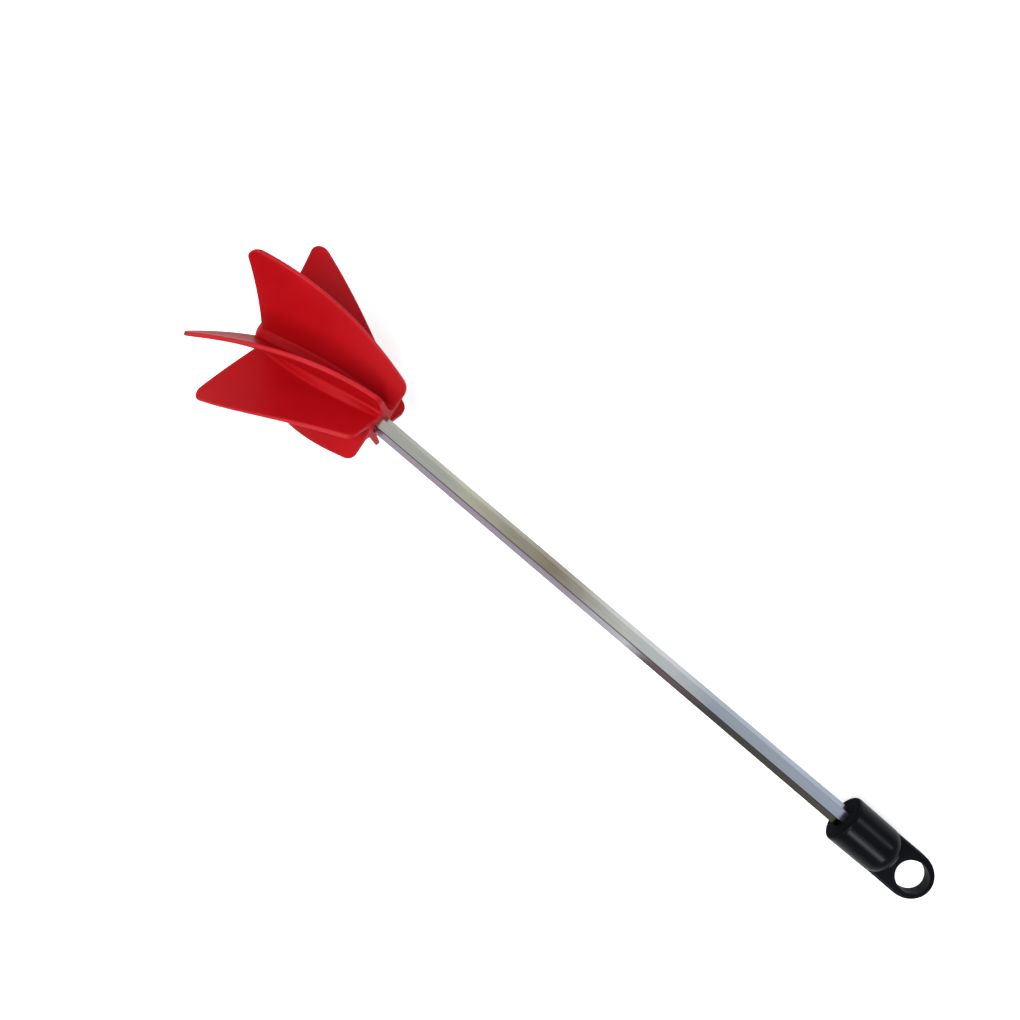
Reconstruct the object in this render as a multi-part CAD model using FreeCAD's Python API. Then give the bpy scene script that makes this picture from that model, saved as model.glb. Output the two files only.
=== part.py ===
import FreeCAD, Part
import math
import os

# Resin mixing paddle: a six-vaned moulded head on a hexagonal steel shank,
# with a moulded hanging cap pushed on the free end.
# Lengths are in millimetres and angles in degrees.

# Shank
shank_flats = 6.35
shank_free = 206.4
shank_chamfer = 0.5
chamfer_angle = 30.0
shank_roll = 40.0

# Moulded head
hub_radius = 6.5
nose_radius = 5.7
nose_reach = 2.1
nose_round = 1.2
socket_depth = 42.0
socket_clearance = 0.04
vane_count = 6
vane_length = 64.6
rim_radius_shank_end = 17.1
rim_radius_mixing_end = 38.8
rim_twist = 56.3
root_lead_angle_shank_end = 28.0
root_lead_angle_mixing_end = -37.0
root_radius = 1.2
vane_thickness_root = 2.7
vane_thickness_rim = 1.7
end_sweep = 8.8
tip_round = 3.3
corner_round = 4.5
sweep_round = 1.2
edge_round = 0.5

# Hanging cap
cap_radius_mouth = 8.4
cap_radius_shoulder = 8.0
barrel_length = 19.4
mouth_round = 1.2
shoulder_round = 5.0
cap_socket_depth = 13.0
cap_clearance = 0.06
tab_width = 15.7
tab_thickness = 4.8
tab_round = 0.8
tab_root = 5.4
tab_reach = 25.9
eye_radius = 5.3
eye_offset = 1.0

# Sampling of the twisted head
section_count = 13
overshoot = 3.0
facet = 0.05
tolerance = 0.001
steepest_dip = 20.0


def along(height):
    return height / vane_length


def rim_radius(height):
    return rim_radius_shank_end + (rim_radius_mixing_end - rim_radius_shank_end) * along(height)


def on_section(radius, angle, height):
    return FreeCAD.Vector(radius * math.cos(angle), radius * math.sin(angle), height)


def rim_angle(height):
    return math.radians(180.0 / vane_count + rim_twist * (1.0 - along(height)))


def root_angle(height):
    """The root leads the rim at the shank end and trails it at the mixing end."""
    growth = root_lead_angle_mixing_end - root_lead_angle_shank_end
    lead = root_lead_angle_shank_end + growth * along(height)
    return rim_angle(height) + math.radians(lead)


def flank(height, side, turn):
    """Straight flank of a vane, as its start at the root and its direction outwards."""
    root = on_section(hub_radius, root_angle(height) + turn, height)
    rim = on_section(rim_radius(height), rim_angle(height) + turn, height)
    run = (rim - root).normalize()
    normal = FreeCAD.Vector(-run.y, run.x, 0.0) * side
    start = root + normal * (vane_thickness_root / 2.0)
    return start, (rim + normal * (vane_thickness_rim / 2.0) - start).normalize()


def root_blend(height, side, turn):
    """Arc that blends a flank into the hub, from its point on the hub to that on the flank."""
    start, run = flank(height, side, turn)
    normal = FreeCAD.Vector(-run.y, run.x, 0.0) * side
    level = FreeCAD.Vector(0.0, 0.0, height)
    inner = start + normal * root_radius - level
    reach = hub_radius + root_radius
    step = -inner.dot(run) + math.sqrt(inner.dot(run) ** 2 + reach ** 2 - inner.dot(inner))
    centre = inner + run * step + level
    on_hub = level + (centre - level) * (hub_radius / reach)
    on_flank = start + run * step
    middle = centre + ((on_hub + on_flank) / 2.0 - centre).normalize() * root_radius
    return on_hub, middle, on_flank


def head_section(height):
    """Cross-section of hub and vanes as one closed outline."""
    edges = []
    for k in range(vane_count):
        turn = 2.0 * math.pi * k / vane_count
        right_hub, right_middle, right_flank = root_blend(height, -1.0, turn)
        left_hub, left_middle, left_flank = root_blend(height, 1.0, turn)
        next_hub = root_blend(height, -1.0, turn + 2.0 * math.pi / vane_count)[0]
        ends = []
        for side in (-1.0, 1.0):
            start, run = flank(height, side, turn)
            ends.append(start + run * (rim_radius(height) - hub_radius + overshoot))
        level = FreeCAD.Vector(0.0, 0.0, height)
        valley = level + ((left_hub + next_hub) / 2.0 - level).normalize() * hub_radius
        edges.append(Part.Arc(right_hub, right_middle, right_flank).toShape())
        edges.append(Part.makeLine(right_flank, ends[0]))
        edges.append(Part.makeLine(ends[0], ends[1]))
        edges.append(Part.makeLine(ends[1], left_flank))
        edges.append(Part.Arc(left_flank, left_middle, left_hub).toShape())
        edges.append(Part.Arc(left_hub, valley, next_hub).toShape())
    return Part.Wire(edges)


def rounded_profile(corners):
    """Closed outline in the XZ plane; each corner is (x, z, radius)."""
    edges = []
    ends = []
    count = len(corners)
    for i in range(count):
        x, z, radius = corners[i]
        here = FreeCAD.Vector(x, 0.0, z)
        before = FreeCAD.Vector(corners[i - 1][0], 0.0, corners[i - 1][1])
        after = FreeCAD.Vector(corners[(i + 1) % count][0], 0.0, corners[(i + 1) % count][1])
        back = (before - here).normalize()
        on = (after - here).normalize()
        if radius == 0.0:
            ends.append((here, here))
            continue
        half = back.getAngle(on) / 2.0
        reach = radius / math.tan(half)
        centre = here + (back + on).normalize() * (radius / math.sin(half))
        start = here + back * reach
        stop = here + on * reach
        middle = centre + (here - centre).normalize() * radius
        edges.append(Part.Arc(start, middle, stop).toShape())
        ends.append((start, stop))
    for i in range(count):
        edges.append(Part.makeLine(ends[i][1], ends[(i + 1) % count][0]))
    return Part.Wire(Part.__sortEdges__(edges))


def turned(corners):
    axis = FreeCAD.Vector(0.0, 0.0, 1.0)
    return Part.Face(rounded_profile(corners)).revolve(FreeCAD.Vector(), axis, 360.0)


def hexagon(flats, height):
    """Hexagonal face across the shank's axis, rolled as the shank is."""
    corner = flats / math.sqrt(3.0)
    angles = [math.radians(60.0 * k + shank_roll) for k in range(7)]
    return Part.Face(Part.makePolygon([on_section(corner, angle, height) for angle in angles]))


def hexagon_bar(flats, start, stop):
    return hexagon(flats, start).extrude(FreeCAD.Vector(0.0, 0.0, stop - start))


def make_head():
    span = vane_length + 2.0 * overshoot
    heights = [span * i / (section_count - 1.0) - overshoot for i in range(section_count)]
    twisted = Part.makeLoft([head_section(height) for height in heights], True, False)
    sweep_foot = vane_length - end_sweep
    hub_end = sweep_foot + nose_reach
    envelope = turned([
        (0.0, 0.0, 0.0),
        (rim_radius_shank_end, 0.0, corner_round),
        (rim_radius_mixing_end, vane_length, tip_round),
        (nose_radius, sweep_foot, sweep_round),
        (nose_radius, hub_end, nose_round),
        (0.0, hub_end, 0.0),
    ])
    head = twisted.common(envelope)
    head = head.makeFillet(edge_round, [edge for edge in head.Edges if on_vane_outline(edge)])
    socket = hexagon_bar(shank_flats + 2.0 * socket_clearance, -overshoot, socket_depth)
    return head.cut(socket).Solids[0]


def on_vane_outline(edge):
    """Edges around a vane outside its root, apart from those that run straight across its rim."""
    first, last = edge.ParameterRange
    start, middle, stop = [edge.valueAt(place) for place in (first, (first + last) / 2.0, last)]
    outside = math.hypot(middle.x, middle.y) > hub_radius + root_radius + edge_round
    rise = abs(stop.z - start.z)
    growth = abs(math.hypot(stop.x, stop.y) - math.hypot(start.x, start.y))
    return outside and max(rise, growth) > edge_round / 2.0


def make_shank():
    """Hexagon bar, its corners turned off at both ends."""
    corner = shank_flats / math.sqrt(3.0)
    end_radius = corner - shank_chamfer / math.tan(math.radians(chamfer_angle))
    turning = turned([
        (0.0, shank_end, 0.0),
        (end_radius, shank_end, 0.0),
        (corner, shank_end + shank_chamfer, 0.0),
        (corner, socket_depth - shank_chamfer, 0.0),
        (end_radius, socket_depth, 0.0),
        (0.0, socket_depth, 0.0),
    ])
    return hexagon_bar(shank_flats, shank_end, socket_depth).common(turning).Solids[0]


def make_cap():
    """Barrel with a blind hexagonal socket, running out into a flat tab with an eye."""
    barrel_end = cap_mouth - barrel_length
    end_centre = cap_mouth - tab_reach
    barrel = turned([
        (0.0, cap_mouth, 0.0),
        (cap_radius_mouth, cap_mouth, mouth_round),
        (cap_radius_shoulder, barrel_end, shoulder_round),
        (0.0, barrel_end, 0.0),
    ])
    half = tab_width / 2.0
    flat = tab_thickness / 2.0
    root = barrel_end + tab_root
    across = FreeCAD.Vector(1.0, 0.0, 0.0)
    web = Part.makeBox(tab_thickness, tab_width, root - end_centre, FreeCAD.Vector(-flat, -half, end_centre))
    end = Part.makeCylinder(half, tab_thickness, FreeCAD.Vector(-flat, 0.0, end_centre), across)
    tab = web.fuse(end).removeSplitter()
    tab = tab.makeFillet(tab_round, [edge for edge in tab.Edges if on_tab_outline(edge, flat, root)])
    eye_centre = FreeCAD.Vector(-flat, 0.0, end_centre - eye_offset)
    eye = Part.makeCylinder(eye_radius, tab_thickness, eye_centre, across)
    socket = hexagon_bar(shank_flats + 2.0 * cap_clearance, shank_end, cap_mouth + overshoot)
    return barrel.fuse(tab).cut(eye).cut(socket).removeSplitter().Solids[0]


def on_tab_outline(edge, flat, root):
    """Edges around the tab's two faces, apart from its buried root."""
    box = edge.BoundBox
    in_face = box.XLength < tolerance and abs(abs(box.Center.x) - flat) < tolerance
    return in_face and abs(box.Center.z - root) > tolerance


def lowest(points, dip):
    """Lowest height of a piece when the shank's axis dips towards the cap."""
    across = math.cos(math.radians(dip))
    up = math.sin(math.radians(dip))
    return min(point.x * across + point.z * up for point in points)


def rest_dip(head, cap):
    """Dip of the axis at which two vane tips and the cap touch the floor together."""
    head_points = head.tessellate(facet)[0]
    cap_points = cap.tessellate(facet)[0]
    low, high = 0.0, steepest_dip
    while high - low > tolerance:
        middle = (low + high) / 2.0
        if lowest(head_points, middle) < lowest(cap_points, middle):
            low = middle
        else:
            high = middle
    return low


cap_mouth = -shank_free
shank_end = cap_mouth - cap_socket_depth

pieces = {
    "mixing_head": make_head(),
    "drive_shank": make_shank(),
    "hanging_cap": make_cap(),
}

# The paddle lies as it comes to rest, head towards -X, with the eye level.
dip = rest_dip(pieces["mixing_head"], pieces["hanging_cap"])
for piece in pieces.values():
    piece.rotate(FreeCAD.Vector(), FreeCAD.Vector(0.0, 1.0, 0.0), dip - 90.0)

box = Part.makeCompound(list(pieces.values())).optimalBoundingBox(False)
floor_centre = FreeCAD.Vector(box.Center.x, box.Center.y, box.ZMin)
os.makedirs("parts", exist_ok=True)
for name, piece in pieces.items():
    piece.translate(floor_centre * -1.0)
    piece.exportStep("parts/" + name + ".step")
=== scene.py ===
import math

import bpy
from mathutils import Matrix, Vector

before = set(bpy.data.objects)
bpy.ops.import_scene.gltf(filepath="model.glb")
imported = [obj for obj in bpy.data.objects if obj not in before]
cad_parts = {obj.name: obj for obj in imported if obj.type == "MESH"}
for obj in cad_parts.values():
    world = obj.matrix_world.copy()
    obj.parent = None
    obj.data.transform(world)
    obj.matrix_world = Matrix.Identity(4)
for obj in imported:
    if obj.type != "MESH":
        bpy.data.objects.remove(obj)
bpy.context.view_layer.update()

# The shank's axis dips from the head down to the cap. In the head's frame X is
# normal to the cap's tab, Y is level and Z runs along the shank to the vane tips.
DIP = math.radians(5.1971)
HEAD_ORIGIN = Vector((-0.0868485, 0.0, 0.0280900))
HEAD_AXES = Matrix.Rotation(DIP - math.radians(90.0), 3, "Y")
# The head's envelope, as part.py has it
VANE_LENGTH = 0.0646
RIM_SHANK_END = 0.0171
RIM_MIXING_END = 0.0388
SWEEP_FOOT = 0.0558
NOSE_RADIUS = 0.0057
# The cap's mouth and its eye
CAP_MOUTH = -0.2064
EYE_CENTRE = (0.0, 0.0, -0.2333)
EYE_RADIUS = 0.0053
# Direction across the shank's uppermost flat, and half of that flat's width
FLAT_RUN = (-0.1736, 0.9848, 0.0)
FLAT_HALF = 0.001833


def from_head(x, y, z):
    """A point of the head's frame, in the row frame."""
    return HEAD_ORIGIN + HEAD_AXES @ Vector((x, y, z))


def tree_of(name):
    """A new material's node tree, emptied."""
    material = bpy.data.materials.new(name)
    material.use_nodes = True
    tree = material.node_tree
    tree.nodes.clear()
    return material, tree


def add(tree, kind, **inputs):
    """Adds a node. Names with a trailing underscore set its properties, others its sockets."""
    made = tree.nodes.new(kind)
    for key, value in inputs.items():
        if key.endswith("_"):
            setattr(made, key[:-1], value)
            continue
        name = key.replace("__", " ")
        socket = made.inputs[int(name[1:])] if name[0] == "i" else made.inputs[name]
        if isinstance(value, bpy.types.NodeSocket):
            tree.links.new(value, socket)
        else:
            socket.default_value = value
    return made


def maths(tree, operation, a, b=0.0, clamp=False):
    made = add(tree, "ShaderNodeMath", operation_=operation, use_clamp_=clamp, i0=a, i1=b)
    return made.outputs[0]


def ramp(tree, factor, stops):
    """Colour ramp over a factor; each stop is (place, linear colour)."""
    made = add(tree, "ShaderNodeValToRGB", Fac=factor)
    points = made.color_ramp.elements
    for i, (place, colour) in enumerate(stops):
        point = points[i] if i < 2 else points.new(place)
        point.position = place
        point.color = (*colour, 1.0)
    return made.outputs["Color"]


def mix(tree, factor, a, b, blend="MIX"):
    made = add(tree, "ShaderNodeMix", data_type_="RGBA", blend_type_=blend, i0=factor)
    for socket, value in ((made.inputs[6], a), (made.inputs[7], b)):
        if isinstance(value, bpy.types.NodeSocket):
            tree.links.new(value, socket)
        else:
            socket.default_value = (*value, 1.0)
    return made.outputs[2]


def head_frame(tree, vector, origin=(0.0, 0.0, 0.0)):
    """Turns a vector of the row frame into the head's frame."""
    moved = add(tree, "ShaderNodeVectorMath", operation_="SUBTRACT", i0=vector, i1=origin)
    turned = add(tree, "ShaderNodeVectorRotate", rotation_type_="Y_AXIS",
                 Vector=moved.outputs[0], Angle=math.radians(90.0) - DIP)
    return turned.outputs[0]


def place_on_paddle(tree):
    return head_frame(tree, add(tree, "ShaderNodeTexCoord").outputs["Object"], HEAD_ORIGIN)


def across(tree, vector, factors):
    """Multiplies a vector by a factor for each axis; 0 leaves an axis out."""
    made = add(tree, "ShaderNodeVectorMath", operation_="MULTIPLY", i0=vector, i1=factors)
    return made.outputs[0]


def length(tree, vector):
    return add(tree, "ShaderNodeVectorMath", operation_="LENGTH", i0=vector).outputs["Value"]


def noise(tree, vector, scale, detail=4.0, roughness=0.5, stretch=None):
    if stretch:
        vector = across(tree, vector, stretch)
    made = add(tree, "ShaderNodeTexNoise",
               Vector=vector, Scale=scale, Detail=detail, Roughness=roughness)
    return made.outputs["Fac"]


def spread(tree, value, low, high, out_low, out_high):
    """Maps low to high onto out_low to out_high, clamped at both ends."""
    made = add(tree, "ShaderNodeMapRange", Value=value, From__Min=low, From__Max=high,
               To__Min=out_low, To__Max=out_high)
    return made.outputs["Result"]


def bump(tree, height, distance, strength=1.0, normal=None):
    made = add(tree, "ShaderNodeBump", Height=height, Distance=distance, Strength=strength)
    if normal:
        tree.links.new(normal, made.inputs["Normal"])
    return made.outputs["Normal"]


def finish_material(tree, **inputs):
    shader = add(tree, "ShaderNodeBsdfPrincipled", **inputs)
    add(tree, "ShaderNodeOutputMaterial", Surface=shader.outputs[0])
    return shader


def vane_edge_gap(tree, place):
    """Distance of a point from the nearer of its vane's rim and trailing edge."""
    radius = length(tree, across(tree, place, (1.0, 1.0, 0.0)))
    height = add(tree, "ShaderNodeSeparateXYZ", Vector=place).outputs[2]
    rim = spread(tree, height, 0.0, VANE_LENGTH, RIM_SHANK_END, RIM_MIXING_END)
    end = spread(tree, radius, NOSE_RADIUS, RIM_MIXING_END, SWEEP_FOOT, VANE_LENGTH)
    rim = maths(tree, "SUBTRACT", rim, radius)
    end = maths(tree, "SUBTRACT", end, height)
    return maths(tree, "MINIMUM", rim, end)


def red_plastic():
    material, tree = tree_of("moulded_red")
    place = place_on_paddle(tree)
    cloud = noise(tree, place, 38.0, 5.0, 0.55)
    flow = noise(tree, place, 90.0, 6.0, 0.6, (1.0, 1.0, 0.35))
    fine = noise(tree, place, 1600.0, 3.0, 0.6)
    base = [(0.30, (0.370, 0.0024, 0.0050)), (0.70, (0.424, 0.0034, 0.0070))]
    colour = ramp(tree, cloud, base)
    colour = mix(tree, spread(tree, flow, 0.35, 0.75, 0.0, 0.30), colour, (0.465, 0.0055, 0.0100))
    scuffs = noise(tree, place, 420.0, 8.0, 0.75, (1.0, 1.0, 0.25))
    scuffs = spread(tree, scuffs, 0.62, 0.72, 0.0, 0.30)
    colour = mix(tree, scuffs, colour, (0.540, 0.0220, 0.0290))
    # Lighter red along the vanes' rims and trailing edges: partly wear, partly a painted
    # highlight for the sheen of the rounded edges.
    rim_wear_and_highlight = spread(tree, vane_edge_gap(tree, place), 0.0002, 0.0010, 1.0, 0.0)
    rim_wear_and_highlight = maths(tree, "MULTIPLY", rim_wear_and_highlight, spread(tree, flow, 0.35, 0.65, 0.25, 0.55))
    colour = mix(tree, rim_wear_and_highlight, colour, (0.560, 0.0330, 0.0420))
    rough = spread(tree, cloud, 0.3, 0.7, 0.36, 0.46)
    rough = maths(tree, "ADD", rough, maths(tree, "MULTIPLY", scuffs, 0.25))
    skin = bump(tree, flow, 0.00020, 0.35)
    skin = bump(tree, fine, 0.00002, 0.5, skin)
    finish_material(tree, Base__Color=colour, Roughness=rough, Normal=skin,
                    IOR=1.49, Specular__IOR__Level=0.08)
    return material


def plated_steel():
    """Bright drawn bar. The tints along it, one set for each side, are painted to match the
    photograph, where they are probably reflections. The tints along it, one set for each
    side, are painted reflections, set to match the photograph."""
    material, tree = tree_of("plated_steel")
    place = place_on_paddle(tree)
    lines = noise(tree, place, 900.0, 4.0, 0.6, (1.0, 1.0, 0.02))
    # Noise that shifts the edges of the painted reflection bands along the bar.
    reflection_jitter = noise(tree, place, 46.0, 6.0, 0.6, (1.0, 1.0, 0.6))
    pits = noise(tree, place, 700.0, 5.0, 0.7, (1.0, 1.0, 0.35))
    height = add(tree, "ShaderNodeSeparateXYZ", Vector=place).outputs[2]
    run = spread(tree, height, 0.0, CAP_MOUTH, 0.0, 1.0)
    run = maths(tree, "ADD", run, spread(tree, reflection_jitter, 0.3, 0.7, -0.05, 0.05), True)
    # Painted reflections along the bar: grey, straw, brown and blue-grey bands for the upper
    # flats, lilac turning to near-black for the lower flats.
    upper_flat_reflections = ramp(tree, run, [
        (0.00, (0.62, 0.63, 0.57)), (1.00, (0.50, 0.55, 0.67)),
        (0.15, (0.57, 0.59, 0.51)), (0.20, (0.66, 0.65, 0.51)),
        (0.38, (0.36, 0.315, 0.235)), (0.54, (0.76, 0.77, 0.71)),
        (0.64, (0.73, 0.76, 0.77)), (0.73, (0.48, 0.53, 0.60))])
    lower_flat_reflections = ramp(tree, run, [
        (0.00, (0.33, 0.285, 0.34)), (1.00, (0.050, 0.043, 0.026)),
        (0.16, (0.29, 0.240, 0.29)), (0.40, (0.29, 0.245, 0.29)),
        (0.57, (0.44, 0.44, 0.46)), (0.63, (0.105, 0.070, 0.080)),
        (0.75, (0.036, 0.033, 0.032))])
    normal = head_frame(tree, add(tree, "ShaderNodeNewGeometry").outputs["Normal"])
    facing = add(tree, "ShaderNodeSeparateXYZ", Vector=normal)
    sideways = facing.outputs[1]
    # Mask for the flats facing -Y and towards +X of the head's frame, which take the lower
    # painted reflections.
    lower_reflection_mask = maths(tree, "MULTIPLY", spread(tree, sideways, -0.15, -0.30, 0.0, 1.0),
                  spread(tree, facing.outputs[0], 0.0, 0.3, 0.0, 1.0))
    colour = mix(tree, lower_reflection_mask, upper_flat_reflections, lower_flat_reflections)
    # Painted dark reflection: flats facing +Y of the head's frame are mixed towards black.
    dark_reflection_mask = spread(tree, sideways, 0.40, 0.60, 0.0, 0.30)
    colour = mix(tree, dark_reflection_mask, colour, (0.02, 0.02, 0.02))
    # Painted dark reflection: a thin near-black line along one corner of the uppermost flat.
    corner = add(tree, "ShaderNodeVectorMath", operation_="DOT_PRODUCT", i0=place, i1=FLAT_RUN)
    corner = maths(tree, "ADD", corner.outputs["Value"], FLAT_HALF)
    edge = spread(tree, maths(tree, "ABSOLUTE", corner), 0.00008, 0.00024, 0.85, 0.0)
    colour = mix(tree, edge, colour, (0.015, 0.014, 0.013))
    drawn = spread(tree, lines, 0.35, 0.65, 0.0, 0.40)
    colour = mix(tree, drawn, colour, (0.70, 0.68, 0.65), "MULTIPLY")
    spots = spread(tree, pits, 0.68, 0.76, 0.0, 0.6)
    colour = mix(tree, spots, colour, (0.12, 0.10, 0.08))
    rough = spread(tree, lines, 0.3, 0.7, 0.14, 0.24)
    rough = maths(tree, "ADD", rough, maths(tree, "MULTIPLY", spots, 0.3))
    skin = bump(tree, lines, 0.00002, 0.5)
    finish_material(tree, Base__Color=colour, Metallic=1.0, Roughness=rough, Normal=skin)
    return material


def black_plastic():
    material, tree = tree_of("moulded_black")
    place = place_on_paddle(tree)
    cloud = noise(tree, place, 120.0, 5.0, 0.6)
    fine = noise(tree, place, 2400.0, 3.0, 0.6)
    dust = spread(tree, noise(tree, place, 700.0, 8.0, 0.8), 0.66, 0.76, 0.0, 0.25)
    base = [(0.35, (0.0010, 0.0012, 0.0022)), (0.70, (0.0020, 0.0023, 0.0040))]
    colour = ramp(tree, cloud, base)
    colour = mix(tree, dust, colour, (0.012, 0.012, 0.015))
    rough = spread(tree, cloud, 0.3, 0.7, 0.22, 0.30)
    height = add(tree, "ShaderNodeSeparateXYZ", Vector=place).outputs[2]
    matt = spread(tree, height, CAP_MOUTH - 0.0008, CAP_MOUTH - 0.0002, 0.0, 0.9)
    rough = maths(tree, "MAXIMUM", rough, matt)
    from_eye = add(tree, "ShaderNodeVectorMath", operation_="SUBTRACT", i0=place, i1=EYE_CENTRE)
    from_eye = length(tree, across(tree, from_eye.outputs[0], (0.0, 1.0, 1.0)))
    matt = spread(tree, from_eye, EYE_RADIUS + 0.0001, EYE_RADIUS + 0.0005, 0.5, 0.0)
    rough = maths(tree, "MAXIMUM", rough, matt)
    skin = bump(tree, cloud, 0.0002, 0.25)
    skin = bump(tree, fine, 0.00002, 0.5, skin)
    finish_material(tree, Base__Color=colour, Roughness=rough, Normal=skin,
                    IOR=1.5, Specular__IOR__Level=0.08)
    return material


def dress(node, material):
    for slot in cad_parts[node].material_slots:
        slot.material = material


dress("mixing_head", red_plastic())
dress("drive_shank", plated_steel())
dress("hanging_cap", black_plastic())


def floor_material():
    """Pale floor, white to the camera, which keeps soft shadows."""
    material, tree = tree_of("pale_floor")
    seen = add(tree, "ShaderNodeLightPath")
    shown = maths(tree, "MAXIMUM",
                  seen.outputs["Is Camera Ray"], seen.outputs["Is Transmission Ray"])
    place = add(tree, "ShaderNodeTexCoord").outputs["Object"]
    tones = [(0.3, (0.84, 0.84, 0.84)), (0.7, (0.86, 0.86, 0.86))]
    tone = ramp(tree, noise(tree, place, 3.0), tones)
    body = add(tree, "ShaderNodeBsdfDiffuse", Color=tone)
    glow = add(tree, "ShaderNodeEmission",
               Color=(1.0, 1.0, 1.0, 1.0), Strength=maths(tree, "MULTIPLY", shown, 0.55))
    both = add(tree, "ShaderNodeAddShader", i0=body.outputs[0], i1=glow.outputs[0])
    add(tree, "ShaderNodeOutputMaterial", Surface=both.outputs[0])
    return material


bpy.ops.mesh.primitive_plane_add(size=30.0, location=(0.0, 0.0, -0.0005))
floor = bpy.context.object
floor.name = "floor"
floor.data.materials.append(floor_material())


def lamp(name, place, aim, size, power, colour=(1.0, 1.0, 1.0)):
    """Square soft lamp, turned towards the point that it aims at."""
    data = bpy.data.lights.new(name, "AREA")
    data.shape = "SQUARE"
    data.size = size
    data.energy = power
    data.color = colour
    made = bpy.data.objects.new(name, data)
    bpy.context.collection.objects.link(made)
    made.location = place
    towards = Vector(aim) - Vector(place)
    made.rotation_euler = towards.to_track_quat("-Z", "Y").to_euler()


HEAD_AIM = (-0.10, 0.0, 0.02)
CAP_AIM = (0.10, 0.0, 0.02)
lamp("key", (-0.40, -0.75, 1.05), HEAD_AIM, 0.7, 2.8)
lamp("side", (0.62, 0.74, 0.76), CAP_AIM, 0.25, 2.0, (0.86, 0.92, 1.0))
lamp("fill", (0.72, -0.50, 0.94), CAP_AIM, 0.30, 5.0, (0.88, 0.93, 1.0))
lamp("top", (-0.05, -0.30, 1.35), (-0.05, 0.0, 0.02), 0.5, 7.9)

world = bpy.data.worlds.new("studio")
bpy.context.scene.world = world
world.use_nodes = True
sky = world.node_tree
sky.nodes.clear()
# The world lights the object as a pale room and looks white to the camera.
seen = add(sky, "ShaderNodeLightPath")
shade = add(sky, "ShaderNodeBackground", Color=(0.96, 0.98, 1.0, 1.0), Strength=0.62)
backdrop = add(sky, "ShaderNodeBackground", Color=(1.0, 1.0, 1.0, 1.0), Strength=1.0)
both = add(sky, "ShaderNodeMixShader", i0=seen.outputs["Is Camera Ray"],
           i1=shade.outputs[0], i2=backdrop.outputs[0])
add(sky, "ShaderNodeOutputWorld", Surface=both.outputs[0])

camera_data = bpy.data.cameras.new("camera")
camera_data.lens = 28.35
camera_data.sensor_width = 36.0
camera = bpy.data.objects.new("camera", camera_data)
bpy.context.collection.objects.link(camera)
# The camera's axes and place were fitted to the photograph, in the head's frame.
right = HEAD_AXES @ Vector((-0.1352, 0.6391, -0.7572)).normalized()
back = HEAD_AXES @ Vector((0.9895, 0.0483, -0.1359)).normalized()
up = back.cross(right).normalized()
turn = Matrix((right, up, back)).transposed().to_4x4()
camera.matrix_world = Matrix.Translation(from_head(0.28086, 0.02039, -0.09534)) @ turn
bpy.context.scene.camera = camera
bpy.context.scene.view_settings.view_transform = "Standard"
